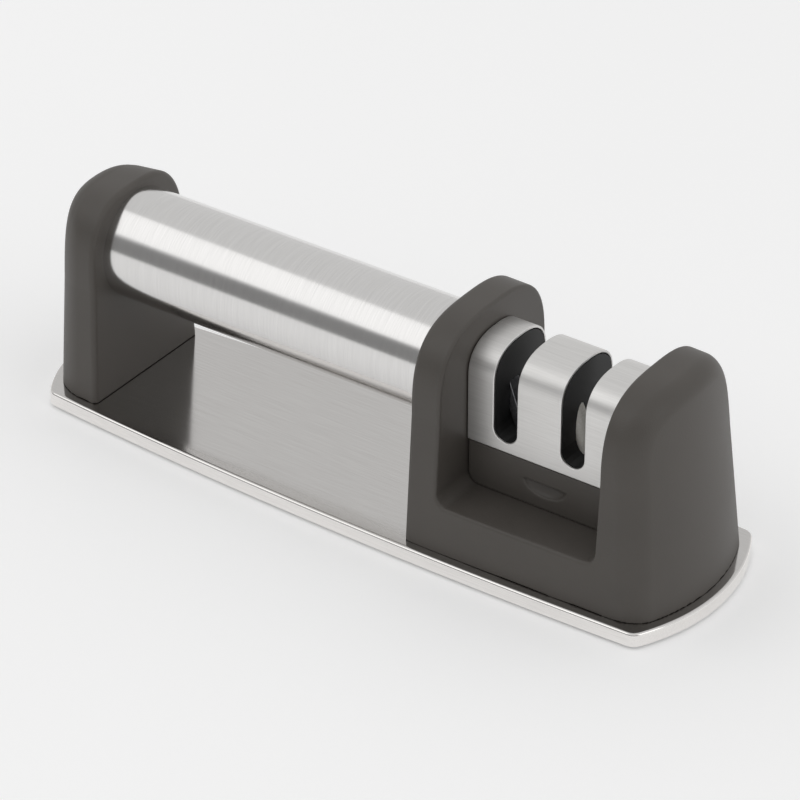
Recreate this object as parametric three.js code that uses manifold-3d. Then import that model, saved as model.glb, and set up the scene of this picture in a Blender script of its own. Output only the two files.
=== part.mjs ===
import * as THREE from 'three';
import { mergeVertices } from 'three/addons/utils/BufferGeometryUtils.js';
import Module from 'manifold-3d';

// A bench-top knife sharpener: a steel tube handle held between an end post and a sharpening head,
// all standing on a lens-shaped steel plate. A cartridge with two knife slots lifts out of the head.
// Millimetres, +Z up. +X runs along the handle towards the head, and the long sides face -Y and +Y.
// The origin is under the middle of the plate, on the surface that the sharpener stands on.

// Base plate: a pan pressed from steel sheet, wider at the head, with bowed sides and bowed ends
const plateLength = 215;
const plateHeadWidth = 59.2;
const platePostWidth = 50.8;
const plateSideBow = 3.2;
const plateEndBow = 8.4;
const plateCornerRadius = 4;
const plateRim = 4.2;
const plateSheet = 1;
const plateFold = 0.9;

// Rubber mat that fills the pan and stands a little proud below it
const matStandoff = 0.8;
const matClearance = 0.3;
const matHoleRadius = 4;

// Moulded bodies: the end post and the head share one arched section with drafted sides
const bodyMargin = 3.1;
const sideDraft = 0.07;
const postEndDraft = 0.046;
const headEndDraft = 0.11;
const postLean = 0.03;
const archRise = 25.3;
const archPower = 2.95;
const bodyWall = 2.2;
const innerEdge = 1.6;
const outerEdge = 5;
const hollowEdge = 0.4;
const postLength = 23.5;
const postInnerTop = 65.4;
const postOuterTop = 64.2;
const headLength = 82.6;
const headInnerTop = 68.9;
const headOuterTop = 67.8;

// Bay in the head, open to both long sides, where the cartridge stands on a sill
const towerThickness = 9.5;
const bayLength = 49.6;
const bayCorner = 3.5;
const sillHeight = 18.9;
const wellDepth = 5;
const wellInset = 6;
const wellWidth = 16;

// Handle: a steel tube let into ring-shaped sockets in both bodies
const tubeRadius = 16;
const tubeWall = 1;
const tubeHeight = 46.8;
const socketDepth = 7;
const socketClearance = 0.15;
const tubeEndGap = 0.3;
const socketRib = 4;

// Cartridge: a moulded foot with finger notches, a rod holder and a bent steel cover
const cartridgeClearance = 0.3;
const coverWidth = 24.8;
const coverSheet = 0.8;
const coverBottom = 32.8;
const coverTop = 62.2;
const coverRise = 10;
const coverPower = 2.5;
const footSetback = 0.4;
const notchWidth = 13;
const notchHeight = 4;
const notchDepth = 1.8;
const notchAbove = 8;

// Knife slots, and the crossed bars and rods that stand in them
const slotPitch = 21.2;
const slotShift = -1.9;
const slotWidth = 7.4;
const slotLift = 3;
const crossAbove = 3.5;
const crossAngle = THREE.MathUtils.degToRad(20);
const crossOffset = 2.6;
const barWidth = 3;
const barThickness = 4.2;
const rodRadius = 2.4;
const abrasiveReach = 13;
const pocketClearance = 0.15;

// Screws: self-tapping, from under the plate and from under the cartridge
const screwRadius = 1.5;
const screwLength = 12;
const screwHeadRadius = 2.8;
const screwHeadHeight = 1.7;
const screwClearance = 0.15;
const driveWidth = 0.7;
const driveReach = 1.7;
const driveDepth = 0.9;
const bossRadius = 3.6;
const towerScrewSpread = 30;
const endScrewSpread = 24;
const postScrewSpread = 27;
const cartridgeScrewSpread = 9;
const cartridgeScrewGrip = 10;
const cartridgeScrewBite = 6;

// Small gap kept between pieces that are pressed together
const seat = 0.06;

// Facet counts, the distance at which points are welded and a cut's overshoot past a face
const arcSteps = 12;
const cornerSteps = 4;
const archSteps = 22;
const hollowSteps = 10;
const edgeSteps = 3;
const roundSteps = 16;
const tubeSteps = 48;
const bodySteps = 3;
const baseSteps = 8;
const capSteps = 3;
const weld = 1e-5;
const past = 2;

// Heights and places that follow from the sizes above
const plateTop = matStandoff + plateRim;
const plateUnder = plateTop - plateSheet;
const halfLength = plateLength / 2;
const headInner = halfLength - headLength;
const postInner = halfLength - postLength;
const bayStart = headInner + towerThickness;
const bayEnd = bayStart + bayLength;
const bayMiddle = (bayStart + bayEnd) / 2;
const wellFloor = sillHeight - wellDepth;
const slotBottom = coverBottom + slotLift;
const crossHeight = slotBottom + crossAbove;
const footTop = coverBottom - cartridgeClearance;

const steel = { color: 0xc9c7c4, roughness: 0.3, metalness: 1 };
const plastic = { color: 0x2b2a29, roughness: 0.55, metalness: 0 };
const rubber = { color: 0x1c1c1c, roughness: 0.9, metalness: 0 };
const carbide = { color: 0x6d6e70, roughness: 0.4, metalness: 1 };
const ceramic = { color: 0xeeeae0, roughness: 0.6, metalness: 0 };
const zinc = { color: 0xa9a9a6, roughness: 0.35, metalness: 1 };

const wasm = await Module();
wasm.setup();

// Solids and booleans

function solidOf(geometry) {
  const bare = geometry.clone();
  bare.deleteAttribute('normal');
  bare.deleteAttribute('uv');
  const merged = mergeVertices(bare, weld);
  return new wasm.Manifold(new wasm.Mesh({
    numProp: 3,
    vertProperties: new Float32Array(merged.attributes.position.array),
    triVerts: new Uint32Array(merged.index.array),
  }));
}

function geometryOf(solid) {
  const mesh = solid.getMesh();
  const geometry = new THREE.BufferGeometry();
  geometry.setAttribute('position', new THREE.BufferAttribute(mesh.vertProperties, 3));
  geometry.setIndex(new THREE.BufferAttribute(mesh.triVerts, 1));
  geometry.computeVertexNormals();
  return geometry;
}

function cutAll(solid, cutters) {
  return cutters.reduce((rest, cutter) => rest.subtract(cutter), solid);
}

function box(low, high) {
  const size = [0, 1, 2].map((i) => high[i] - low[i]);
  const middle = [0, 1, 2].map((i) => (high[i] + low[i]) / 2);
  return solidOf(new THREE.BoxGeometry(...size).translate(...middle));
}

function uprightCylinder(radius, low, high, x, y) {
  const geometry = new THREE.CylinderGeometry(radius, radius, high - low, roundSteps);
  return solidOf(geometry.rotateX(Math.PI / 2).translate(x, y, (low + high) / 2));
}

function lyingCylinder(radius, startX, endX, z) {
  const geometry = new THREE.CylinderGeometry(radius, radius, Math.abs(endX - startX), tubeSteps);
  return solidOf(geometry.rotateZ(Math.PI / 2).translate((startX + endX) / 2, 0, z));
}

// Extrudes a shape drawn in X and Z through the depth of the part, centred on Y.
function extrudeAcross(shape, depth) {
  const options = { depth, bevelEnabled: false, curveSegments: cornerSteps };
  const geometry = new THREE.ExtrudeGeometry(shape, options);
  return solidOf(geometry.rotateX(Math.PI / 2).translate(0, depth / 2, 0));
}

// A closed skin through rings of equal point counts; a fan to the mean point closes each end.
function loft(rings) {
  const count = rings[0].length;
  const points = rings.flat();
  const index = [];
  for (let r = 0; r + 1 < rings.length; r += 1) {
    for (let i = 0; i < count; i += 1) {
      const j = (i + 1) % count;
      const a = r * count;
      const b = a + count;
      index.push(a + i, a + j, b + j, a + i, b + j, b + i);
    }
  }
  for (const r of [0, rings.length - 1]) {
    const middle = new THREE.Vector3();
    rings[r].forEach((p) => middle.addScaledVector(p, 1 / count));
    const hub = points.push(middle) - 1;
    for (let i = 0; i < count; i += 1) {
      const j = (i + 1) % count;
      const pair = r === 0 ? [r * count + j, r * count + i] : [r * count + i, r * count + j];
      index.push(hub, ...pair);
    }
  }
  if (signedVolume(points, index) < 0) {
    index.reverse();
  }
  const geometry = new THREE.BufferGeometry().setFromPoints(points);
  geometry.setIndex(index);
  return solidOf(geometry);
}

function signedVolume(points, index) {
  let volume = 0;
  for (let i = 0; i < index.length; i += 3) {
    const [a, b, c] = [points[index[i]], points[index[i + 1]], points[index[i + 2]]];
    volume += a.dot(b.clone().cross(c)) / 6;
  }
  return volume;
}

// Plan outline of the plate: two side arcs and two end arcs, joined by small corner arcs

const cornerX = halfLength - plateEndBow;
const sideRise = (plateHeadWidth - platePostWidth) / 4;
const sideChord = Math.hypot(cornerX, sideRise);
const sideRadius = (sideChord ** 2 + plateSideBow ** 2) / (2 * plateSideBow);
const sideDepth = (sideRadius - plateSideBow) / sideChord;
const sideCentre = new THREE.Vector2(
  sideDepth * sideRise,
  (plateHeadWidth + platePostWidth) / 4 - sideDepth * cornerX,
);

// Radius of the end arc at the head, side +1, or at the post, side -1.
function endRadius(side) {
  const half = (side > 0 ? plateHeadWidth : platePostWidth) / 2;
  return (half ** 2 + plateEndBow ** 2) / (2 * plateEndBow);
}

function endCentre(side) {
  return new THREE.Vector2(side * (halfLength - endRadius(side)), 0);
}

// Half the width of the plate's outline at x, drawn in by an inset.
function halfWidthAt(x, inset) {
  return sideCentre.y + Math.sqrt((sideRadius - inset) ** 2 - (x - sideCentre.x) ** 2);
}

// Distance from the middle to one end of the plate at y, drawn in by an inset.
function endAt(side, y, inset) {
  const radius = endRadius(side);
  return halfLength - radius + Math.sqrt((radius - inset) ** 2 - y ** 2);
}

// Centre of the corner arc at y > 0 that touches both the side arc and an end arc from inside.
function cornerCentre(side, inset, radius) {
  const toSide = sideRadius - inset - radius;
  const toEnd = endRadius(side) - inset - radius;
  const from = endCentre(side);
  const apart = sideCentre.distanceTo(from);
  const along = (toEnd ** 2 - toSide ** 2 + apart ** 2) / (2 * apart);
  const off = side * Math.sqrt(toEnd ** 2 - along ** 2);
  const way = sideCentre.clone().sub(from).divideScalar(apart);
  return new THREE.Vector2(from.x + along * way.x - off * way.y, along * way.y + off * way.x);
}

function arcPoints(centre, radius, from, to, steps) {
  return Array.from({ length: steps }, (_, i) => {
    const angle = from + ((to - from) * i) / steps;
    return new THREE.Vector2(centre.x + radius * Math.cos(angle), centre.y + radius * Math.sin(angle));
  });
}

// The whole outline, anticlockwise, at a height z: the arcs at y > 0, then the same arcs at y < 0.
function plateRing(inset, z) {
  const round = Math.max(plateCornerRadius - inset, plateFold);
  const [head, post] = [1, -1].map((side) => {
    const corner = cornerCentre(side, inset, round);
    const toEnd = corner.clone().sub(endCentre(side)).angle();
    const toSide = corner.clone().sub(sideCentre).angle();
    return { corner, toEnd, toSide };
  });
  const upper = [
    ...arcPoints(endCentre(1), endRadius(1) - inset, 0, head.toEnd, arcSteps),
    ...arcPoints(head.corner, round, head.toEnd, head.toSide, cornerSteps),
    ...arcPoints(sideCentre, sideRadius - inset, head.toSide, post.toSide, arcSteps),
    ...arcPoints(post.corner, round, post.toSide, post.toEnd, cornerSteps),
    ...arcPoints(endCentre(-1), endRadius(-1) - inset, post.toEnd, Math.PI, arcSteps),
    new THREE.Vector2(-halfLength + inset, 0),
  ];
  const lower = upper.slice(1, -1).reverse().map((p) => new THREE.Vector2(p.x, -p.y));
  return [...upper, ...lower].map((p) => new THREE.Vector3(p.x, p.y, z));
}

// Moulded bodies

// Half the width of a body at height z, for a section that stands at x along the plate.
function bodyHalfWidth(x, z, shrink) {
  return halfWidthAt(x, bodyMargin) - sideDraft * (z - plateTop) - shrink;
}

// One arched section, front foot to back foot and back along the base. placeX gives each point's
// distance along the plate.
function bodyRing(sectionX, top, shrink, bottom, steps, placeX) {
  const spring = top - archRise;
  const springHalf = bodyHalfWidth(sectionX, spring, shrink);
  const footHalf = bodyHalfWidth(sectionX, bottom, shrink);
  const outline = [[-footHalf, bottom]];
  for (let i = 0; i <= steps; i += 1) {
    const angle = (Math.PI * i) / steps;
    const across = Math.abs(Math.cos(angle)) ** (2 / archPower) * Math.sign(Math.cos(angle));
    const up = Math.abs(Math.sin(angle)) ** (2 / archPower);
    outline.push([-springHalf * across, spring + (archRise - shrink) * up]);
  }
  for (let i = 0; i < baseSteps; i += 1) {
    outline.push([footHalf * (1 - (2 * i) / baseSteps), bottom]);
  }
  return outline.map(([y, z]) => new THREE.Vector3(placeX(y, z), y, z));
}

// A body from its flat inner face to its bowed, drafted outer end, drawn in all round by a shrink.
// The inner face may lean away from the handle, and the lean dies out along the body.
function bodySolid({ side, innerX, innerTop, outerTop, endDraft, lean }, shrink) {
  const bottom = shrink > 0 ? plateTop - past : plateTop + seat;
  const steps = shrink > 0 ? hollowSteps : archSteps;
  const outerX = cornerX - bodyMargin;
  const topAt = (x) => innerTop + ((outerTop - innerTop) * (x - innerX)) / (outerX - innerX);
  const leanAt = (x, z) => (lean * (z - plateTop) * (outerX - x)) / (outerX - innerX);
  const flat = (x, inset) => {
    const place = (y, z) => side * (x + leanAt(x, z));
    return bodyRing(side * x, topAt(x), shrink + inset, bottom, steps, place);
  };
  const endX = (y, z) => endAt(side, y, bodyMargin + shrink) - endDraft * (z - plateTop);
  const bowed = (offset, inset) => {
    const place = (y, z) => side * (endX(y, z) - offset);
    return bodyRing(side * (outerX - offset), outerTop, shrink + inset, bottom, steps, place);
  };
  const nearEdge = Math.max(innerEdge - shrink, hollowEdge);
  const farEdge = Math.max(outerEdge - shrink, hollowEdge);
  const rings = [];
  for (let i = 0; i <= edgeSteps; i += 1) {
    const angle = (Math.PI / 2) * (i / edgeSteps);
    rings.push(flat(innerX + shrink + nearEdge * (1 - Math.cos(angle)), nearEdge * (1 - Math.sin(angle))));
  }
  const first = innerX + shrink + nearEdge;
  const stretch = outerX - shrink - farEdge - first;
  for (let i = 1; i < bodySteps; i += 1) {
    rings.push(flat(first + (stretch * i) / bodySteps, 0));
  }
  for (let i = edgeSteps; i >= 0; i -= 1) {
    const angle = (Math.PI / 2) * (i / edgeSteps);
    rings.push(bowed(farEdge * (1 - Math.cos(angle)), farEdge * (1 - Math.sin(angle))));
  }
  const rim = rings.at(-1);
  const middleZ = (bottom + outerTop) / 2;
  for (let i = capSteps - 1; i > 0; i -= 1) {
    const share = i / capSteps;
    rings.push(rim.map((p) => {
      const y = p.y * share;
      const z = middleZ + (p.z - middleZ) * share;
      return new THREE.Vector3(side * endX(y, z), y, z);
    }));
  }
  return loft(rings);
}

// The ring-shaped groove that takes the tube's end. The core left inside it plugs the tube.
function tubeSocket(side, innerX) {
  const mouth = side * (innerX - past);
  const floor = side * (innerX + socketDepth);
  const outer = lyingCylinder(tubeRadius + socketClearance, mouth, floor, tubeHeight);
  return outer.subtract(lyingCylinder(tubeRadius - tubeWall - socketClearance, mouth, floor, tubeHeight));
}

// Solid material kept around a socket inside a hollow body, with a rib that ties it to the roof.
function socketWall({ side, innerX, innerTop }) {
  const reach = innerX + socketDepth + bodyWall;
  const [start, end] = [side * innerX, side * reach];
  const rib = box(
    [Math.min(start, end), -socketRib / 2, tubeHeight],
    [Math.max(start, end), socketRib / 2, innerTop],
  );
  return lyingCylinder(tubeRadius + bodyWall, start, end, tubeHeight).add(rib);
}

// A screw boss rises to the height of the tube, so that it joins the walls beside it.
function boss([x, y]) {
  return uprightCylinder(bossRadius, plateTop - past, tubeHeight, x, y);
}

function pilotHole([x, y]) {
  const depth = plateUnder + screwLength + screwClearance;
  return uprightCylinder(screwRadius + screwClearance, plateTop - past, depth, x, y);
}

const mirrored = (x, spread) => [[x, -spread / 2], [x, spread / 2]];
const headScrews = [
  ...mirrored(headInner + towerThickness / 2, towerScrewSpread),
  ...mirrored(bayEnd + bodyWall / 2 + bossRadius, endScrewSpread),
];
const postScrews = mirrored(-(postInner + socketDepth + bodyWall / 2), postScrewSpread);
const plateScrews = [...headScrews, ...postScrews];

const postForm = {
  side: -1,
  innerX: postInner,
  innerTop: postInnerTop,
  outerTop: postOuterTop,
  endDraft: postEndDraft,
  lean: postLean,
};
const headForm = {
  side: 1,
  innerX: headInner,
  innerTop: headInnerTop,
  outerTop: headOuterTop,
  endDraft: headEndDraft,
  lean: 0,
};

function endPost() {
  const shell = bodySolid(postForm, 0);
  const hollow = bodySolid(postForm, bodyWall);
  const kept = [socketWall(postForm), ...postScrews.map(boss)];
  return cutAll(shell, [cutAll(hollow, kept), tubeSocket(-1, postInner), ...postScrews.map(pilotHole)]);
}

// The bay's opening as seen from the long side, grown outwards by a margin.
function bayShape(margin) {
  const [left, right, low] = [bayStart - margin, bayEnd + margin, sillHeight - margin];
  const high = headInnerTop + past;
  const round = bayCorner + margin;
  const shape = new THREE.Shape();
  shape.moveTo(left, high);
  shape.lineTo(left, low + round);
  shape.absarc(left + round, low + round, round, Math.PI, 1.5 * Math.PI, false);
  shape.absarc(right - round, low + round, round, 1.5 * Math.PI, 2 * Math.PI, false);
  shape.lineTo(right, high);
  return shape;
}

// The pocket under the sill that the cartridge's tongue drops into, grown outwards by a margin.
function well(margin, high) {
  return box(
    [bayStart + wellInset - margin, -wellWidth / 2 - margin, wellFloor - margin],
    [bayEnd - wellInset + margin, wellWidth / 2 + margin, high],
  );
}

function headHousing() {
  const depth = 2 * plateHeadWidth;
  const shell = bodySolid(headForm, 0);
  const hollow = bodySolid(headForm, bodyWall);
  const kept = [
    extrudeAcross(bayShape(bodyWall), depth),
    well(bodyWall, sillHeight),
    socketWall(headForm),
    ...headScrews.map(boss),
  ];
  return cutAll(shell, [
    cutAll(hollow, kept),
    extrudeAcross(bayShape(0), depth),
    well(0, sillHeight + past),
    tubeSocket(1, headInner),
    ...headScrews.map(pilotHole),
  ]);
}

// Plate, mat and tube

function basePlate() {
  const rings = [plateRing(0, matStandoff)];
  for (let i = 0; i <= edgeSteps; i += 1) {
    const angle = (Math.PI / 2) * (i / edgeSteps);
    rings.push(plateRing(plateFold * (1 - Math.cos(angle)), plateTop - plateFold * (1 - Math.sin(angle))));
  }
  const inside = loft([plateRing(plateSheet, matStandoff - past), plateRing(plateSheet, plateUnder)]);
  const holes = plateScrews.map(([x, y]) => (
    uprightCylinder(screwRadius + screwClearance, plateUnder - past, plateTop + past, x, y)
  ));
  return cutAll(loft(rings), [inside, ...holes]);
}

function nonSlipMat() {
  const inset = plateSheet + matClearance;
  const slab = loft([plateRing(inset, 0), plateRing(inset, plateUnder - seat)]);
  const holes = plateScrews.map(([x, y]) => uprightCylinder(matHoleRadius, -past, plateTop, x, y));
  return cutAll(slab, holes);
}

function handleTube() {
  const reach = socketDepth - tubeEndGap;
  const start = -(postInner + reach);
  const end = headInner + reach;
  const bore = tubeRadius - tubeWall;
  const profile = [[bore, start], [tubeRadius, start], [tubeRadius, end], [bore, end], [bore, start]];
  const points = profile.map(([radius, along]) => new THREE.Vector2(radius, along));
  const geometry = new THREE.LatheGeometry(points, tubeSteps);
  return solidOf(geometry.rotateZ(-Math.PI / 2).translate(0, 0, tubeHeight));
}

// Cartridge

const cartridgeStart = bayStart + cartridgeClearance;
const cartridgeEnd = bayEnd - cartridgeClearance;
const slotMiddle = bayMiddle + slotShift;
const slotCentres = [slotMiddle - slotPitch / 2, slotMiddle + slotPitch / 2];
const cartridgeScrews = mirrored(bayMiddle, cartridgeScrewSpread);
const cartridgeScrewSeat = footTop - cartridgeScrewGrip;
const cartridgeScrewLength = cartridgeScrewGrip + cartridgeScrewBite;

// Arched section of the cover's outside, or of its inside when drawn in, from foot to foot.
function coverOutline(inset, bottom) {
  const half = coverWidth / 2 - inset;
  const spring = coverTop - coverRise;
  const outline = [new THREE.Vector2(-half, bottom)];
  for (let i = 0; i <= archSteps; i += 1) {
    const angle = (Math.PI * i) / archSteps;
    const across = Math.abs(Math.cos(angle)) ** (2 / coverPower) * Math.sign(Math.cos(angle));
    const up = Math.abs(Math.sin(angle)) ** (2 / coverPower);
    outline.push(new THREE.Vector2(-half * across, spring + (coverRise - inset) * up));
  }
  outline.push(new THREE.Vector2(half, bottom));
  return outline;
}

// An arched section drawn in Y and Z, run along X between two stations.
function arched(outline, startX, endX) {
  const ring = (x) => outline.map((p) => new THREE.Vector3(x, p.x, p.y));
  return loft([ring(startX), ring(endX)]);
}

// A knife slot with a round bottom, cut right across the cartridge.
function slotCut(x, bottom) {
  const radius = slotWidth / 2;
  const shape = new THREE.Shape();
  shape.moveTo(x - radius, coverTop + past);
  shape.lineTo(x - radius, bottom + radius);
  shape.absarc(x, bottom + radius, radius, Math.PI, 2 * Math.PI, false);
  shape.lineTo(x + radius, coverTop + past);
  return extrudeAcross(shape, 2 * coverWidth);
}

function cartridgeCover() {
  const outside = arched(coverOutline(0, coverBottom), cartridgeStart, cartridgeEnd);
  const lining = coverOutline(coverSheet, coverBottom - past);
  const inside = arched(lining, cartridgeStart - past, cartridgeEnd + past);
  return cutAll(outside, [inside, ...slotCentres.map((x) => slotCut(x, slotBottom))]);
}

// The moulded foot: a block on the sill, a tongue in the well and, on each long face, a scooped
// notch with a flat ledge over it for a fingernail.
function cartridgeFoot() {
  const half = coverWidth / 2 - footSetback;
  const low = sillHeight + seat;
  const round = bayCorner + cartridgeClearance;
  const shape = new THREE.Shape();
  shape.moveTo(cartridgeStart, footTop);
  shape.lineTo(cartridgeStart, low + round);
  shape.absarc(cartridgeStart + round, low + round, round, Math.PI, 1.5 * Math.PI, false);
  shape.absarc(cartridgeEnd - round, low + round, round, 1.5 * Math.PI, 2 * Math.PI, false);
  shape.lineTo(cartridgeEnd, footTop);
  const block = extrudeAcross(shape, 2 * half).add(well(-cartridgeClearance, sillHeight + past));
  const ledge = sillHeight + notchAbove;
  const notches = [-half, half].map((y) => {
    const ball = new THREE.SphereGeometry(1, roundSteps, roundSteps / 2);
    ball.scale(notchWidth / 2, notchDepth, notchHeight);
    const reach = notchDepth + past;
    const above = box([bayStart, y - reach, ledge], [bayEnd, y + reach, ledge + notchHeight + past]);
    return solidOf(ball.translate(bayMiddle, y, ledge)).subtract(above);
  });
  const holes = cartridgeScrews.flatMap(([x, y]) => [
    uprightCylinder(screwRadius + screwClearance, wellFloor - past, footTop + past, x, y),
    uprightCylinder(screwHeadRadius + screwClearance, wellFloor - past, cartridgeScrewSeat + seat, x, y),
  ]);
  return cutAll(block, [...notches, ...holes]);
}

// A bar or rod that crosses a slot, leaning by the crossing angle. lean is +1 or -1.
function crossed(geometry, half, x, lean, y) {
  geometry.translate(half, 0, 0);
  geometry.rotateY(lean * crossAngle);
  return solidOf(geometry.translate(x, y, crossHeight));
}

// Where a bar or rod of some width begins and ends along its own length, measured from the crossing.
// A pocket for it is grown all round and runs on down through the holder's underside.
function crossSpan(width, growth) {
  const drop = crossHeight - footTop - pocketClearance - width * Math.sin(crossAngle);
  const low = -drop / Math.cos(crossAngle);
  return growth > 0 ? [low - past, abrasiveReach + growth] : [low, abrasiveReach];
}

function carbideBar(lean, growth) {
  const [low, high] = crossSpan(barWidth, growth);
  const geometry = new THREE.BoxGeometry(barWidth + 2 * growth, barThickness + 2 * growth, high - low);
  geometry.translate(0, 0, (high + low) / 2);
  return crossed(geometry, lean * (barWidth / 2), slotCentres[0], lean, lean * crossOffset);
}

function ceramicRod(lean, growth) {
  const [low, high] = crossSpan(2 * rodRadius, growth);
  const radius = rodRadius + growth;
  const geometry = new THREE.CylinderGeometry(radius, radius, high - low, roundSteps);
  geometry.rotateX(Math.PI / 2).translate(0, 0, (high + low) / 2);
  return crossed(geometry, lean * rodRadius, slotCentres[1], lean, lean * crossOffset);
}

function rodHolder() {
  const inset = coverSheet + pocketClearance;
  const block = arched(coverOutline(inset, footTop + seat), cartridgeStart, cartridgeEnd);
  const pockets = [-1, 1].flatMap((lean) => [
    carbideBar(lean, pocketClearance),
    ceramicRod(lean, pocketClearance),
  ]);
  const tip = footTop + cartridgeScrewBite + screwClearance;
  const threads = cartridgeScrews.map(([x, y]) => (
    uprightCylinder(screwRadius + screwClearance, footTop - past, tip, x, y)
  ));
  return cutAll(block, [...slotCentres.map((x) => slotCut(x, slotBottom)), ...pockets, ...threads]);
}

// Screws

// A pan-head screw that points up, with the underside of its head at the height given.
function screw([x, y], seatHeight, length) {
  const low = seatHeight - screwHeadHeight;
  const head = uprightCylinder(screwHeadRadius, low, seatHeight, x, y);
  const shank = uprightCylinder(screwRadius, low, seatHeight + length, x, y);
  const drive = [[driveReach, driveWidth / 2], [driveWidth / 2, driveReach]].map(([dx, dy]) => (
    box([x - dx, y - dy, low - past], [x + dx, y + dy, low + driveDepth])
  ));
  return cutAll(head.add(shank), drive);
}

// Assembly

function piece(name, solid, finish) {
  const mesh = new THREE.Mesh(geometryOf(solid), new THREE.MeshStandardMaterial(finish));
  mesh.name = name;
  return mesh;
}

const stand = new THREE.Group();
stand.add(
  piece('base_plate', basePlate(), steel),
  piece('non_slip_mat', nonSlipMat(), rubber),
  piece('end_post', endPost(), plastic),
  piece('head_housing', headHousing(), plastic),
  piece('handle_tube', handleTube(), steel),
);
headScrews.forEach((place, i) => {
  stand.add(piece(`head_screw_${i + 1}`, screw(place, plateUnder - seat, screwLength), zinc));
});
postScrews.forEach((place, i) => {
  stand.add(piece(`post_screw_${i + 1}`, screw(place, plateUnder - seat, screwLength), zinc));
});

const cartridge = new THREE.Group();
cartridge.add(
  piece('cartridge_foot', cartridgeFoot(), plastic),
  piece('rod_holder', rodHolder(), plastic),
  piece('cartridge_cover', cartridgeCover(), steel),
  piece('carbide_bar_front', carbideBar(-1, 0), carbide),
  piece('carbide_bar_back', carbideBar(1, 0), carbide),
  piece('ceramic_rod_front', ceramicRod(-1, 0), ceramic),
  piece('ceramic_rod_back', ceramicRod(1, 0), ceramic),
);
cartridgeScrews.forEach((place, i) => {
  const solid = screw(place, cartridgeScrewSeat, cartridgeScrewLength);
  cartridge.add(piece(`cartridge_screw_${i + 1}`, solid, zinc));
});

const sharpener = new THREE.Group();
sharpener.add(stand, cartridge);

export default sharpener;
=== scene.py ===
import math

import bmesh
import bpy
import numpy as np
from mathutils import Matrix, Vector


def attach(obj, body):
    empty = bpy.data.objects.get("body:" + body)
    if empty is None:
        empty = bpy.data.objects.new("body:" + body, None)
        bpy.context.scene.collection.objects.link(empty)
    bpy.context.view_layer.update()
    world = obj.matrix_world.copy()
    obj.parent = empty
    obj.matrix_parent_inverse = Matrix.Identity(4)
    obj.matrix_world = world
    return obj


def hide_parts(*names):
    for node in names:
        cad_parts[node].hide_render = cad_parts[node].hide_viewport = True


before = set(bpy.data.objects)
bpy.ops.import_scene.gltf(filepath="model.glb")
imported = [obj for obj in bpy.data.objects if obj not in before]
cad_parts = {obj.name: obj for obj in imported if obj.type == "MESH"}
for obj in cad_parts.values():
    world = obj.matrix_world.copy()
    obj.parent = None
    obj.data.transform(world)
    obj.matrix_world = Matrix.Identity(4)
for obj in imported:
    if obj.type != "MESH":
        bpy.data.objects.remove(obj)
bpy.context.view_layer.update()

MM = 0.001

# Sizes of the sharpener in millimetres, the same as in the solid model
PLATE_LENGTH = 215
PLATE_HEAD_WIDTH = 59.2
PLATE_POST_WIDTH = 50.8
PLATE_SIDE_BOW = 3.2
PLATE_END_BOW = 8.4
PLATE_CORNER_RADIUS = 4
PLATE_BOTTOM = 0.8
PLATE_TOP = 5.0
PLATE_SHEET = 1
PLATE_FOLD = 0.9
PLATE_FLAT = 0.3
RIM_EDGE = 0.15
FOLD_STEPS = 8
BODY_MARGIN = 3.1
SIDE_DRAFT = 0.07
ARCH_RISE = 25.3
ARCH_POWER = 2.95
INNER_EDGE = 1.6
OUTER_EDGE = 5
POST_INNER = 84
POST_INNER_TOP = 65.4
POST_OUTER_TOP = 64.2
POST_END_DRAFT = 0.046
POST_LEAN = 0.03
HEAD_INNER = 24.9
HEAD_INNER_TOP = 68.9
HEAD_OUTER_TOP = 67.8
HEAD_END_DRAFT = 0.11
TUBE_RADIUS = 16
TUBE_WALL = 1
TUBE_HEIGHT = 46.8
TUBE_DEPTH = 6.7
TUBE_STEPS = 160
BAY_START = 34.4
BAY_END = 84
BAY_CORNER = 3.5
BAY_EDGE = 0.9
SILL = 18.9
WELL_FLOOR = 13.9
WELL_INSET = 6
WELL_HALF = 8
WELL_OVERCUT = 5
WELL_EDGE = 0.4
SEAT = 0.06
HAIR = 0.01
GAP = 0.3
COVER_HALF = 12.4
COVER_SHEET = 0.8
COVER_BOTTOM = 32.8
COVER_TOP = 62.2
COVER_RISE = 10
COVER_POWER = 2.5
COVER_EDGE = 0.2
FOOT_HALF = 12
FOOT_TOP = 32.5
FOOT_EDGE = 0.5
TONGUE_OVERLAP = 3
NOTCH = (6.5, 1.8, 4)
NOTCH_LEDGE = 26.9
NOTCH_EDGE = 0.3
SLOT_CENTRES = (46.7, 67.9)
SLOT_HALF = 3.7
SLOT_BOTTOM = 35.8
SLOT_EDGE = 0.25
CROSS_HEIGHT = 39.3
CROSS_ANGLE = math.radians(20)
CROSS_OFFSET = 2.6
BAR_WIDTH = 3
BAR_THICKNESS = 4.2
BAR_EDGE = 0.25
ROD_RADIUS = 2.4
ROD_EDGE = 0.5
ROD_STEPS = 48
ABRASIVE_REACH = 13
ABRASIVE_GAP = 0.15

HALF_LENGTH = PLATE_LENGTH / 2
CORNER_X = HALF_LENGTH - PLATE_END_BOW
SIDE_RISE = (PLATE_HEAD_WIDTH - PLATE_POST_WIDTH) / 4
SIDE_CHORD = math.hypot(CORNER_X, SIDE_RISE)
SIDE_RADIUS = (SIDE_CHORD ** 2 + PLATE_SIDE_BOW ** 2) / (2 * PLATE_SIDE_BOW)
SIDE_DEPTH = (SIDE_RADIUS - PLATE_SIDE_BOW) / SIDE_CHORD
SIDE_X = SIDE_DEPTH * SIDE_RISE
SIDE_Y = (PLATE_HEAD_WIDTH + PLATE_POST_WIDTH) / 4 - SIDE_DEPTH * CORNER_X
BAY_MIDDLE = (BAY_START + BAY_END) / 2

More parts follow.
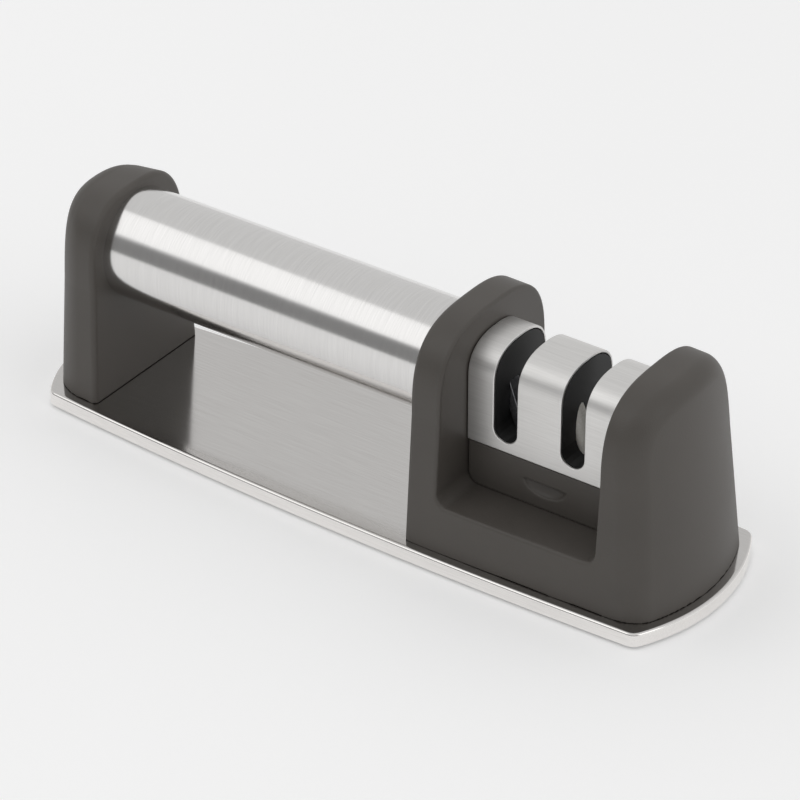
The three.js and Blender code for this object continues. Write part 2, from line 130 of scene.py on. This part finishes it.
# Space that each curved piece is meshed in, and the size of its cells
POST_GRID = ((-106, -30, 5), (-83.5, 30, 67), 0.5)
HEAD_GRID = ((24.4, -30, 5), (106, 30, 69.5), 0.5)
COVER_GRID = ((34.4, -12.6, 32.6), (84, 12.6, 62.4), 0.25)
FOOT_GRID = ((34.4, -12.2, 13.9), (84, 12.2, 32.7), 0.4)

# Studio in metres and degrees
CAMERA_LENS = 199.8
CAMERA_SENSOR = 36
CAMERA_AZIMUTH = 35.3
CAMERA_ELEVATION = 32.6
CAMERA_DISTANCE = 1.207
CAMERA_TARGET = (0.004, 0, 0.027)
FLOOR_HALF = 6
FLOOR_GLOW = 0.22
ROOM_BACK = 0.72
ROOM_FRONT = 0.26
KEY_PLACE = (-0.8, -0.82, 1.2)
KEY_TARGET = (-0.03, 0, 0.05)
KEY_SIZE = (1.4, 1.0)
KEY_RADIANCE = 0.5
SIDE_PLACE = (1.6, -0.2, 0.8)
SIDE_TARGET = (0, 0, 0.03)
SIDE_SIZE = (0.9, 0.9)
SIDE_RADIANCE = 0.6


# Meshes

def new_object(name, mesh, body, material, replaced):
    """A piece in place: it rides on a body, wears a material and stands for CAD nodes."""
    obj = bpy.data.objects.new(name, mesh)
    bpy.context.scene.collection.objects.link(obj)
    mesh.materials.append(material)
    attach(obj, body)
    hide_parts(*replaced)


def mesh_from(name, points, faces, normals=None):
    """A mesh in metres from points in millimetres."""
    mesh = bpy.data.meshes.new(name)
    mesh.from_pydata((np.asarray(points) * MM).tolist(), [], faces)
    mesh.validate()
    mesh.polygons.foreach_set("use_smooth", np.ones(len(mesh.polygons), bool))
    if normals is not None:
        mesh.normals_split_custom_set_from_vertices(normals.tolist())
    mesh.update()
    return mesh


def gradient(field, p, h=0.02):
    """Slope of a field at points, by central differences."""
    slope = np.empty_like(p)
    for axis in range(3):
        step = np.zeros(3)
        step[axis] = h
        slope[:, axis] = (field(*(p + step).T) - field(*(p - step).T)) / (2 * h)
    return slope


def surface(name, field, low, high, step):
    """A closed mesh of the surface where a field is zero, negative inside: one point for each grid
    cell that the surface crosses, drawn onto the surface, with smooth normals from the field."""
    low = np.asarray(low, float) - 1.5 * step
    count = np.ceil((np.asarray(high, float) + 1.5 * step - low) / step).astype(int) + 1
    axes = [low[i] + step * np.arange(count[i]) for i in range(3)]
    x, y, z = np.meshgrid(*axes, indexing="ij", sparse=True)
    value = np.broadcast_to(field(x, y, z), count).astype(np.float32)
    inside = value < 0

    cells = tuple(n - 1 for n in count)
    total = np.zeros(cells + (3,), np.float32)
    crossings = np.zeros(cells, np.int32)
    corners = np.array([(i, j, k) for i in (0, 1) for j in (0, 1) for k in (0, 1)])

    def part(array, corner):
        return array[tuple(slice(c, c + n) for c, n in zip(corner, cells))]

    for a in corners:
        for axis in range(3):
            if a[axis]:
                continue
            b = a.copy()
            b[axis] = 1
            cross = part(inside, a) != part(inside, b)
            va, vb = part(value, a)[cross], part(value, b)[cross]
            point = np.repeat(a[None].astype(np.float32), len(va), 0)
            point[:, axis] += va / (va - vb)
            total[cross] += point
            crossings[cross] += 1

    used = crossings > 0
    index = np.full(cells, -1, np.int64)
    index[used] = np.arange(used.sum())
    cell = np.argwhere(used)
    points = low + step * (cell + total[used] / crossings[used][:, None])
    for _ in range(4):
        slope = gradient(field, points)
        size = np.maximum((slope ** 2).sum(1), 0.05)
        move = -(field(*points.T) / size)[:, None] * slope
        points += np.clip(move, -0.5 * step, 0.5 * step)

    faces = []
    for axis in range(3):
        u, v = (axis + 1) % 3, (axis + 2) % 3
        first = [slice(1, -1)] * 3
        second = [slice(1, -1)] * 3
        first[axis] = slice(0, -1)
        second[axis] = slice(1, None)
        start, end = inside[tuple(first)], inside[tuple(second)]
        at = np.argwhere(start != end) + 1
        at[:, axis] -= 1
        leaving = start[start != end]
        ring = []
        for du, dv in ((1, 1), (0, 1), (0, 0), (1, 0)):
            place = at.copy()
            place[:, u] -= du
            place[:, v] -= dv
            ring.append(index[tuple(place.T)])
        quad = np.stack(ring, 1)
        quad[~leaving] = quad[~leaving][:, ::-1]
        faces.append(quad)
    faces = np.concatenate(faces)
    slope = gradient(field, points)
    normals = slope / np.maximum(np.linalg.norm(slope, axis=1, keepdims=True), 1e-6)
    return mesh_from(name, points, faces.tolist(), normals)


def evened(field, h=0.03):
    """A field divided by its slope, which near its zero surface is the distance to it."""
    def even(x, y, z):
        slope = 0
        for dx, dy, dz in ((h, 0, 0), (0, h, 0), (0, 0, h)):
            change = (field(x + dx, y + dy, z + dz) - field(x - dx, y - dy, z - dz)) / (2 * h)
            slope = slope + change ** 2
        return field(x, y, z) / np.sqrt(np.maximum(slope, 0.04))
    return even


def both(a, b, radius=0.0):
    """What two shapes have in common, with the edge between them rounded."""
    if radius <= 0:
        return np.maximum(a, b)
    corner = np.hypot(np.maximum(a + radius, 0), np.maximum(b + radius, 0))
    return np.minimum(np.maximum(a, b), -radius) + corner


def block(x, y, z, low, high):
    """Distance to a box."""
    q = [np.maximum(l - c, c - h) for c, l, h in zip((x, y, z), low, high)]
    return np.maximum(np.maximum(q[0], q[1]), q[2])


def trough(x, z, start, end, low, radius):
    """Distance to a space that is open at the top and has rounded lower corners, seen from the side."""
    qx = np.abs(x - (start + end) / 2) - (end - start) / 2 + radius
    qz = low + radius - z
    return np.minimum(np.maximum(qx, qz), 0) + np.hypot(np.maximum(qx, 0), np.maximum(qz, 0)) - radius


def arch(across, up, power):
    """A rounded arch section: zero on its outline."""
    return (np.abs(across) ** power + np.maximum(up, 0) ** power) ** (1 / power) - 1


# Plan outline of the plate: two side arcs and two end arcs, joined by small corner arcs

def half_width(x, inset):
    return SIDE_Y + np.sqrt((SIDE_RADIUS - inset) ** 2 - (x - SIDE_X) ** 2)


def end_radius(side):
    """Radius of the end arc at the head, side 1, or at the post, side -1."""
    half = (PLATE_HEAD_WIDTH if side > 0 else PLATE_POST_WIDTH) / 2
    return (half ** 2 + PLATE_END_BOW ** 2) / (2 * PLATE_END_BOW)


def end_centre(side):
    return side * (HALF_LENGTH - end_radius(side))


def end_at(side, y, inset):
    """Distance from the middle to an end of the plate."""
    radius = end_radius(side)
    return HALF_LENGTH - radius + np.sqrt(np.maximum((radius - inset) ** 2 - y ** 2, 1))


def corner_centre(side, inset, radius):
    """Centre of the corner arc that touches a side arc and an end arc from inside."""
    to_side = SIDE_RADIUS - inset - radius
    to_end = end_radius(side) - inset - radius
    from_x = end_centre(side)
    apart = math.hypot(SIDE_X - from_x, SIDE_Y)
    along = (to_end ** 2 - to_side ** 2 + apart ** 2) / (2 * apart)
    off = side * math.sqrt(to_end ** 2 - along ** 2)
    ux, uy = (SIDE_X - from_x) / apart, SIDE_Y / apart
    return from_x + along * ux - off * uy, along * uy + off * ux


def arc(cx, cy, radius, start, end, steps):
    angle = start + (end - start) * np.arange(steps) / steps
    return np.stack([cx + radius * np.cos(angle), cy + radius * np.sin(angle)], 1)


def plate_ring(inset, z):
    """The outline at a height: the arcs on one long side, then the same arcs on the other."""
    radius = max(PLATE_CORNER_RADIUS - inset, PLATE_FOLD)
    (hx, hy), (px, py) = corner_centre(1, inset, radius), corner_centre(-1, inset, radius)
    head_end = math.atan2(hy, hx - end_centre(1))
    head_side = math.atan2(hy - SIDE_Y, hx - SIDE_X)
    post_side = math.atan2(py - SIDE_Y, px - SIDE_X)
    post_end = math.atan2(py, px - end_centre(-1))
    upper = np.concatenate([
        arc(end_centre(1), 0, end_radius(1) - inset, 0, head_end, 24),
        arc(hx, hy, radius, head_end, head_side, 12),
        arc(SIDE_X, SIDE_Y, SIDE_RADIUS - inset, head_side, post_side, 64),
        arc(px, py, radius, post_side, post_end, 12),
        arc(end_centre(-1), 0, end_radius(-1) - inset, post_end, math.pi, 24),
        [[inset - HALF_LENGTH, 0]],
    ])
    outline = np.concatenate([upper, upper[-2:0:-1] * (1, -1)])
    return np.column_stack([outline, np.full(len(outline), z)])


# Pieces

def body_field(side, inner, inner_top, outer_top, end_draft, lean=0):
    """The end post or the head before its cuts: an arched section from a flat face to a bowed end."""
    outer = CORNER_X - BODY_MARGIN

    def section(x, y, z):
        u = np.clip(side * x, inner, outer)
        top = inner_top + (outer_top - inner_top) * (u - inner) / (outer - inner)
        spring = top - ARCH_RISE
        half = half_width(side * u, BODY_MARGIN) - SIDE_DRAFT * (np.minimum(z, spring) - PLATE_TOP)
        return arch(y / half, (z - spring) / ARCH_RISE, ARCH_POWER) * half

    def end(x, y, z):
        return side * x - end_at(side, y, BODY_MARGIN) + end_draft * (z - PLATE_TOP)

    even_section, even_end = evened(section), evened(end)

    def field(x, y, z):
        face = inner + lean * (z - PLATE_TOP) - side * x
        shape = both(even_section(x, y, z), face, INNER_EDGE)
        shape = both(shape, even_end(x, y, z), OUTER_EDGE)
        return both(shape, PLATE_TOP + SEAT - z)

    return field


def head_field():
    body = body_field(1, HEAD_INNER, HEAD_INNER_TOP, HEAD_OUTER_TOP, HEAD_END_DRAFT)

    def field(x, y, z):
        bay = trough(x, z, BAY_START, BAY_END, SILL, BAY_CORNER)
        low = (BAY_START + WELL_INSET, -WELL_HALF, WELL_FLOOR)
        high = (BAY_END - WELL_INSET, WELL_HALF, SILL + WELL_OVERCUT)
        shape = both(body(x, y, z), -bay, BAY_EDGE)
        return both(shape, -block(x, y, z, low, high), WELL_EDGE)

    return field


def cover_field():
    """Bent steel sheet: an arch with two slots that have round bottoms."""
    spring = COVER_TOP - COVER_RISE

    def shell(x, y, z):
        return arch(y / COVER_HALF, (z - spring) / COVER_RISE, COVER_POWER) * COVER_HALF

    even_shell = evened(shell)

    def field(x, y, z):
        outside = even_shell(x, y, z)
        sheet = both(outside, -COVER_SHEET - outside, COVER_EDGE)
        low = (BAY_START + GAP, -COVER_HALF, COVER_BOTTOM)
        high = (BAY_END - GAP, COVER_HALF, 2 * COVER_TOP)
        ends = block(x, 0 * y, z, low, high)
        shape = both(sheet, ends, COVER_EDGE)
        for centre in SLOT_CENTRES:
            slot = trough(x, z, centre - SLOT_HALF, centre + SLOT_HALF, SLOT_BOTTOM, SLOT_HALF)
            shape = both(shape, -slot, SLOT_EDGE)
        return shape

    return field


def foot_field():
    """The moulded block under the cover, with a tongue below and a finger notch on each long side."""
    start, end = BAY_START + GAP, BAY_END - GAP
    low = (start + WELL_INSET, -WELL_HALF + GAP, WELL_FLOOR + GAP)
    high = (end - WELL_INSET, WELL_HALF - GAP, SILL + TONGUE_OVERLAP)

    def field(x, y, z):
        shape = both(trough(x, z, start, end, SILL + SEAT, BAY_CORNER + GAP), z - FOOT_TOP, FOOT_EDGE)
        shape = both(shape, np.abs(y) - FOOT_HALF, FOOT_EDGE)
        shape = np.minimum(shape, block(x, y, z, low, high))
        notch = np.sqrt(((x - BAY_MIDDLE) / NOTCH[0]) ** 2 + ((np.abs(y) - FOOT_HALF) / NOTCH[1]) ** 2
                        + ((z - NOTCH_LEDGE) / NOTCH[2]) ** 2) - 1
        scoop = both(notch * NOTCH[1], z - NOTCH_LEDGE, NOTCH_EDGE)
        return both(shape, -scoop, NOTCH_EDGE)

    return field


def plate_rings():
    """Plate pressed from sheet: a folded rim and an open underside."""
    rings = [
        plate_ring(PLATE_SHEET, PLATE_TOP - PLATE_SHEET),
        plate_ring(PLATE_SHEET, PLATE_BOTTOM + RIM_EDGE),
        plate_ring(PLATE_SHEET - RIM_EDGE, PLATE_BOTTOM),
        plate_ring(RIM_EDGE, PLATE_BOTTOM),
        plate_ring(HAIR, PLATE_BOTTOM + RIM_EDGE),
    ]
    for i in range(FOLD_STEPS + 1):
        angle = math.pi / 2 * i / FOLD_STEPS
        inset = HAIR + PLATE_FOLD * (1 - math.cos(angle))
        z = PLATE_TOP - PLATE_FOLD * (1 - math.sin(angle))
        rings.append(plate_ring(inset, z))
    rings.append(plate_ring(HAIR + PLATE_FOLD + PLATE_FLAT, PLATE_TOP))
    return rings


def ring_mesh(name, rings, sharp=35):
    """A closed skin through rings, with a flat face at each end."""
    count = len(rings[0])
    faces = [list(range(count))[::-1]]
    for r in range(len(rings) - 1):
        for i in range(count):
            j = (i + 1) % count
            faces.append([r * count + i, r * count + j, (r + 1) * count + j, (r + 1) * count + i])
    faces.append([(len(rings) - 1) * count + i for i in range(count)])
    mesh = mesh_from(name, np.concatenate(rings), faces)
    bm = bmesh.new()
    bm.from_mesh(mesh)
    bmesh.ops.recalc_face_normals(bm, faces=bm.faces)
    bm.to_mesh(mesh)
    bm.free()
    mesh.set_sharp_from_angle(angle=math.radians(sharp))
    return mesh


def turned(profile, steps):
    """Rings of points round the X axis from a list of places along X and radii."""
    angle = 2 * np.pi * np.arange(steps) / steps
    return [np.column_stack([np.full(steps, x), r * np.cos(angle), r * np.sin(angle)]) for x, r in profile]


def stand_in_slot(mesh, side, x, width):
    """Stands a bar or rod, made along X from its crossing, in its slot."""
    turn = Matrix.Rotation(side * CROSS_ANGLE, 4, "Y")
    up = Matrix.Rotation(-math.pi / 2, 4, "Y")
    shift = Matrix.Translation(Vector((side * width / 2, 0, 0)) * MM)
    place = Matrix.Translation(Vector((x, side * CROSS_OFFSET, CROSS_HEIGHT)) * MM)
    mesh.transform(place @ turn @ shift @ up)


def cross_low(width):
    """Place of a bar's or rod's lower end, from its crossing, just above the foot."""
    drop = CROSS_HEIGHT - FOOT_TOP - ABRASIVE_GAP - width * math.sin(CROSS_ANGLE)
    return -drop / math.cos(CROSS_ANGLE)


def rod_mesh(name, side):
    """A round rod with a rounded top end."""
    low, shoulder, neck = cross_low(2 * ROD_RADIUS), ABRASIVE_REACH - ROD_EDGE, ROD_RADIUS - ROD_EDGE
    profile = [(low, neck), (low + ROD_EDGE, ROD_RADIUS)]
    for angle in np.linspace(0, math.pi / 2, 5):
        profile.append((shoulder + ROD_EDGE * math.sin(angle), neck + ROD_EDGE * math.cos(angle)))
    mesh = ring_mesh(name, turned(profile, ROD_STEPS))
    stand_in_slot(mesh, side, SLOT_CENTRES[1], 2 * ROD_RADIUS)
    return mesh


def bar_mesh(name, side):
    """A square bar with a small ground chamfer on every edge."""
    low, high = cross_low(BAR_WIDTH), ABRASIVE_REACH
    mesh = bpy.data.meshes.new(name)
    bm = bmesh.new()
    bmesh.ops.create_cube(bm, size=1)
    size = Vector((high - low, BAR_THICKNESS, BAR_WIDTH)) * MM
    bmesh.ops.scale(bm, vec=size, verts=bm.verts)
    bmesh.ops.translate(bm, vec=Vector(((low + high) / 2 * MM, 0, 0)), verts=bm.verts)
    bmesh.ops.bevel(bm, geom=bm.edges[:], offset=BAR_EDGE * MM, segments=2, affect="EDGES", profile=0.5)
    bm.to_mesh(mesh)
    bm.free()
    stand_in_slot(mesh, side, SLOT_CENTRES[0], BAR_WIDTH)
    return mesh


# Materials

class Shader:
    """Builds a node material around one principled shader."""

    def __init__(self, name, **values):
        self.material = bpy.data.materials.new(name)
        self.material.use_nodes = True
        self.nodes = self.material.node_tree.nodes
        self.links = self.material.node_tree.links
        self.shader = next(n for n in self.nodes if n.type == "BSDF_PRINCIPLED")
        for key, value in values.items():
            self.shader.inputs[key.replace("_", " ")].default_value = value
        self.coordinates = self.node("ShaderNodeTexCoord").outputs["Object"]

    def node(self, kind, **settings):
        node = self.nodes.new(kind)
        for key, value in settings.items():
            setattr(node, key, value)
        return node

    def mapped(self, scale):
        mapping = self.node("ShaderNodeMapping")
        mapping.inputs["Scale"].default_value = scale
        self.links.new(self.coordinates, mapping.inputs["Vector"])
        return mapping.outputs["Vector"]

    def noise(self, scale, stretch=(1, 1, 1), detail=3, roughness=0.5):
        noise = self.node("ShaderNodeTexNoise")
        noise.inputs["Scale"].default_value = scale
        noise.inputs["Detail"].default_value = detail
        noise.inputs["Roughness"].default_value = roughness
        self.links.new(self.mapped(stretch), noise.inputs["Vector"])
        return noise.outputs["Fac"]

    def ramp(self, factor, stops):
        ramp = self.node("ShaderNodeValToRGB")
        elements = ramp.color_ramp.elements
        while len(elements) < len(stops):
            elements.new(0.5)
        for element, (position, colour) in zip(elements, stops):
            element.position = position
            element.color = (*colour, 1)
        self.links.new(factor, ramp.inputs["Fac"])
        return ramp.outputs["Color"]

    def spread(self, factor, low, high):
        spread = self.node("ShaderNodeMapRange")
        spread.inputs["From Min"].default_value = 0.25
        spread.inputs["From Max"].default_value = 0.75
        spread.inputs["To Min"].default_value = low
        spread.inputs["To Max"].default_value = high
        self.links.new(factor, spread.inputs["Value"])
        return spread.outputs["Result"]

    def painted_side_highlight(self, colour, gain):
        """Painted highlight: a colour that is brighter by a factor on upright faces, standing in for the
        light that catches them.
        """
        way = self.node("ShaderNodeSeparateXYZ")
        self.links.new(self.node("ShaderNodeNewGeometry").outputs["Normal"], way.inputs["Vector"])
        level = self.node("ShaderNodeMapRange")
        for key, number in (("From Min", 0.6), ("From Max", 0.98), ("To Min", gain), ("To Max", 1)):
            level.inputs[key].default_value = number
        self.links.new(way.outputs["Z"], level.inputs["Value"])
        scaled = self.node("ShaderNodeVectorMath", operation="SCALE")
        self.links.new(colour, scaled.inputs[0])
        self.links.new(level.outputs["Result"], scaled.inputs["Scale"])
        return scaled.outputs["Vector"]

    def feed(self, socket, output):
        self.links.new(output, self.shader.inputs[socket])

    def bump(self, *layers):
        """Stacks bumps, each a height output, a strength and a depth in metres."""
        last = None
        for height, strength, depth in layers:
            bump = self.node("ShaderNodeBump")
            bump.inputs["Strength"].default_value = strength
            bump.inputs["Distance"].default_value = depth
            self.links.new(height, bump.inputs["Height"])
            if last:
                self.links.new(last, bump.inputs["Normal"])
            last = bump.outputs["Normal"]
        self.feed("Normal", last)

    def glow(self, strength):
        """Lifts a backdrop for the camera and for mirrors alone, so that it throws no more light."""
        rays = self.node("ShaderNodeLightPath")
        seen = rays.outputs["Is Camera Ray"]
        for name in ("Is Glossy Ray", "Is Transmission Ray"):
            either = self.node("ShaderNodeMath", operation="MAXIMUM")
            self.links.new(seen, either.inputs[0])
            self.links.new(rays.outputs[name], either.inputs[1])
            seen = either.outputs["Value"]
        level = self.node("ShaderNodeMath", operation="MULTIPLY")
        level.inputs[1].default_value = strength
        self.links.new(seen, level.inputs[0])
        emission = self.node("ShaderNodeEmission")
        self.links.new(level.outputs["Value"], emission.inputs["Strength"])
        total = self.node("ShaderNodeAddShader")
        self.links.new(self.shader.outputs["BSDF"], total.inputs[0])
        self.links.new(emission.outputs["Emission"], total.inputs[1])
        output = next(n for n in self.nodes if n.type == "OUTPUT_MATERIAL")
        self.links.new(total.outputs["Shader"], output.inputs["Surface"])


def steel(name, dark, light, rough, stretch, lines, depth, highlight_gain=1):
    """Brushed steel, with fine lines along the way it was ground. Its upright sides can get a painted
    highlight, a colour brighter by a factor.
    """
    s = Shader(name, Metallic=1.0)
    grain = s.noise(lines, stretch, detail=4, roughness=0.6)
    cloud = s.noise(35, detail=2)
    colour = s.ramp(grain, ((0.3, dark), (0.7, light)))
    # Painted highlight on upright faces wherever the gain is above 1
    s.feed("Base Color", s.painted_side_highlight(colour, highlight_gain))
    s.feed("Roughness", s.spread(cloud, *rough))
    s.bump((grain, 0.12, depth))
    return s.material


def moulded(name, dark, light, rough):
    """Black moulded plastic: a fine spark-eroded grain, with slight shine worn onto it."""
    s = Shader(name, Specular_IOR_Level=0.5)
    grain = s.noise(2600, detail=2, roughness=0.6)
    cloud = s.noise(40, detail=3)
    s.feed("Base Color", s.ramp(cloud, ((0.3, dark), (0.7, light))))
    s.feed("Roughness", s.spread(cloud, *rough))
    s.bump((grain, 0.35, 0.00012))
    return s.material


def rubber(name):
    s = Shader(name, Specular_IOR_Level=0.3)
    cloud = s.noise(60, detail=4)
    wave = s.node("ShaderNodeTexWave", bands_direction="X")
    wave.inputs["Scale"].default_value = 160
    s.links.new(s.coordinates, wave.inputs["Vector"])
    s.feed("Base Color", s.ramp(cloud, ((0.3, (0.016, 0.016, 0.016)), (0.7, (0.03, 0.03, 0.03)))))
    s.feed("Roughness", s.spread(cloud, 0.75, 0.9))
    s.bump((wave.outputs["Fac"], 0.5, 0.0003), (s.noise(3000), 0.3, 0.0001))
    return s.material


def ground(name, dark, light, rough, metallic):
    """Hard abrasive: fine speckle and cross-grinding."""
    s = Shader(name, Metallic=metallic)
    speckle = s.noise(1800, detail=4, roughness=0.7)
    s.feed("Base Color", s.ramp(speckle, ((0.35, dark), (0.65, light))))
    s.feed("Roughness", s.spread(s.noise(300), *rough))
    s.bump((speckle, 0.3, 0.00008))
    return s.material


BRUSHED_DEPTH = 0.00002
# Painted highlight: the plate's upright rim is coloured brighter by this factor, for the light its edge
# catches
RIM_HIGHLIGHT_GAIN = 1.42
PLATE_STEEL = steel("plate_steel", (0.60, 0.585, 0.57), (0.66, 0.645, 0.63), (0.08, 0.13),
                    (1, 40, 40), 60, BRUSHED_DEPTH, RIM_HIGHLIGHT_GAIN)
TUBE_STEEL = steel("tube_steel", (0.70, 0.69, 0.68), (0.77, 0.76, 0.75), (0.13, 0.18),
                   (40, 1, 1), 90, BRUSHED_DEPTH)
COVER_STEEL = steel("cover_steel", (0.72, 0.71, 0.695), (0.80, 0.79, 0.775), (0.40, 0.48),
                    (1, 30, 30), 70, BRUSHED_DEPTH)
BLACK = moulded("black_plastic", (0.074, 0.066, 0.058), (0.087, 0.078, 0.069), (0.42, 0.52))
# Black plastic of the rod holder, made darker still as painted shade, so the insides of the slots read
# dark
BLACK_WITH_PAINTED_SHADE = moulded("holder_plastic_painted_shade", (0.012, 0.012, 0.012), (0.018, 0.018, 0.018), (0.5, 0.6))
RUBBER = rubber("mat_rubber")
CARBIDE = ground("carbide", (0.16, 0.16, 0.17), (0.28, 0.28, 0.29), (0.3, 0.45), 1.0)
CERAMIC = ground("ceramic", (0.74, 0.71, 0.64), (0.86, 0.84, 0.79), (0.45, 0.6), 0.0)
ZINC = ground("screw_zinc", (0.40, 0.40, 0.39), (0.52, 0.52, 0.50), (0.3, 0.4), 1.0)


# The part

plate = ring_mesh("plate", plate_rings())
new_object("plate", plate, "stand", PLATE_STEEL, ["base_plate"])

tube_start, tube_end = -(POST_INNER + TUBE_DEPTH), HEAD_INNER + TUBE_DEPTH
bore = TUBE_RADIUS - TUBE_WALL
tube_profile = [(tube_start, bore), (tube_start, TUBE_RADIUS), (tube_end, TUBE_RADIUS), (tube_end, bore)]
tube_rings = turned(tube_profile, TUBE_STEPS)
for ring in tube_rings:
    ring[:, 2] += TUBE_HEIGHT
new_object("tube", ring_mesh("tube", tube_rings), "stand", TUBE_STEEL, ["handle_tube"])

post_shape = body_field(-1, POST_INNER, POST_INNER_TOP, POST_OUTER_TOP, POST_END_DRAFT, POST_LEAN)
post = surface("post", post_shape, *POST_GRID)
new_object("post", post, "stand", BLACK, ["end_post"])

head = surface("head", head_field(), *HEAD_GRID)
new_object("head", head, "stand", BLACK, ["head_housing"])

cover = surface("cover", cover_field(), *COVER_GRID)
new_object("cover", cover, "cartridge", COVER_STEEL, ["cartridge_cover"])

foot = surface("foot", foot_field(), *FOOT_GRID)
new_object("foot", foot, "cartridge", BLACK, ["cartridge_foot"])

for word, side in (("front", -1), ("back", 1)):
    bar = bar_mesh(f"bar_{word}", side)
    new_object(f"bar_{word}", bar, "cartridge", CARBIDE, [f"carbide_bar_{word}"])
    rod = rod_mesh(f"rod_{word}", side)
    new_object(f"rod_{word}", rod, "cartridge", CERAMIC, [f"ceramic_rod_{word}"])

for node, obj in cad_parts.items():
    if "screw" in node:
        material = ZINC
    elif node == "non_slip_mat":
        material = RUBBER
    # The holder and the hidden nodes wear the darkened black: real black plastic plus painted shade for
    # the slot insides
    else:
        material = BLACK_WITH_PAINTED_SHADE
    obj.data.materials.clear()
    obj.data.materials.append(material)


# Studio: pale floor, soft panels and an even world

def panel(name, place, target, size, radiance):
    """A soft light panel of an even brightness, turned towards a point."""
    lamp = bpy.data.lights.new(name, "AREA")
    lamp.shape = "RECTANGLE"
    lamp.size, lamp.size_y = size
    lamp.energy = radiance * math.pi * size[0] * size[1]
    obj = bpy.data.objects.new(name, lamp)
    bpy.context.scene.collection.objects.link(obj)
    obj.location = place
    obj.rotation_euler = (Vector(target) - Vector(place)).to_track_quat("-Z", "Y").to_euler()


floor_mesh = bpy.data.meshes.new("floor")
floor_corners = [(x * FLOOR_HALF, y * FLOOR_HALF, 0) for x, y in ((-1, -1), (1, -1), (1, 1), (-1, 1))]
floor_mesh.from_pydata(floor_corners, [], [(0, 1, 2, 3)])
floor = bpy.data.objects.new("floor", floor_mesh)
bpy.context.scene.collection.objects.link(floor)
pale = Shader("floor", Roughness=0.9, Specular_IOR_Level=0.1)
pale.feed("Base Color", pale.ramp(pale.noise(3), ((0.3, (0.87, 0.87, 0.87)), (0.7, (0.89, 0.89, 0.89)))))
pale.glow(FLOOR_GLOW)
floor_mesh.materials.append(pale.material)


def studio_world(back, front):
    """An even room that is pale behind the part and darker along the horizon in front of it."""
    world = bpy.data.worlds.new("world")
    world.use_nodes = True
    nodes, links = world.node_tree.nodes, world.node_tree.links

    def ease(value, start, end, first, last):
        node = nodes.new("ShaderNodeMapRange")
        node.interpolation_type = "SMOOTHSTEP"
        for key, number in (("From Min", start), ("From Max", end), ("To Min", first), ("To Max", last)):
            node.inputs[key].default_value = number
        links.new(value, node.inputs["Value"])
        return node.outputs["Result"]

    way = nodes.new("ShaderNodeSeparateXYZ")
    links.new(nodes.new("ShaderNodeTexCoord").outputs["Generated"], way.inputs["Vector"])
    share = nodes.new("ShaderNodeMath")
    share.operation = "MULTIPLY"
    links.new(ease(way.outputs["Z"], 0.36, 0.5, 1, 0), share.inputs[0])
    links.new(ease(way.outputs["Y"], -0.6, 0.1, 1, 0), share.inputs[1])
    sky = nodes["Background"]
    sky.inputs["Color"].default_value = (1, 1, 1, 1)
    links.new(ease(share.outputs["Value"], 0, 1, back, front), sky.inputs["Strength"])
    bpy.context.scene.world = world


studio_world(ROOM_BACK, ROOM_FRONT)
panel("key_panel", KEY_PLACE, KEY_TARGET, KEY_SIZE, KEY_RADIANCE)
panel("side_panel", SIDE_PLACE, SIDE_TARGET, SIDE_SIZE, SIDE_RADIANCE)

scene = bpy.context.scene
scene.view_settings.view_transform = "Standard"

camera_data = bpy.data.cameras.new("camera")
camera_data.sensor_width = CAMERA_SENSOR
camera_data.lens = CAMERA_LENS
camera = bpy.data.objects.new("camera", camera_data)
scene.collection.objects.link(camera)
azimuth, elevation = math.radians(CAMERA_AZIMUTH), math.radians(CAMERA_ELEVATION)
direction = Vector((
    math.sin(azimuth) * math.cos(elevation),
    -math.cos(azimuth) * math.cos(elevation),
    math.sin(elevation),
))
camera.location = Vector(CAMERA_TARGET) + direction * CAMERA_DISTANCE
camera.rotation_euler = (-direction).to_track_quat("-Z", "Y").to_euler()
scene.camera = camera
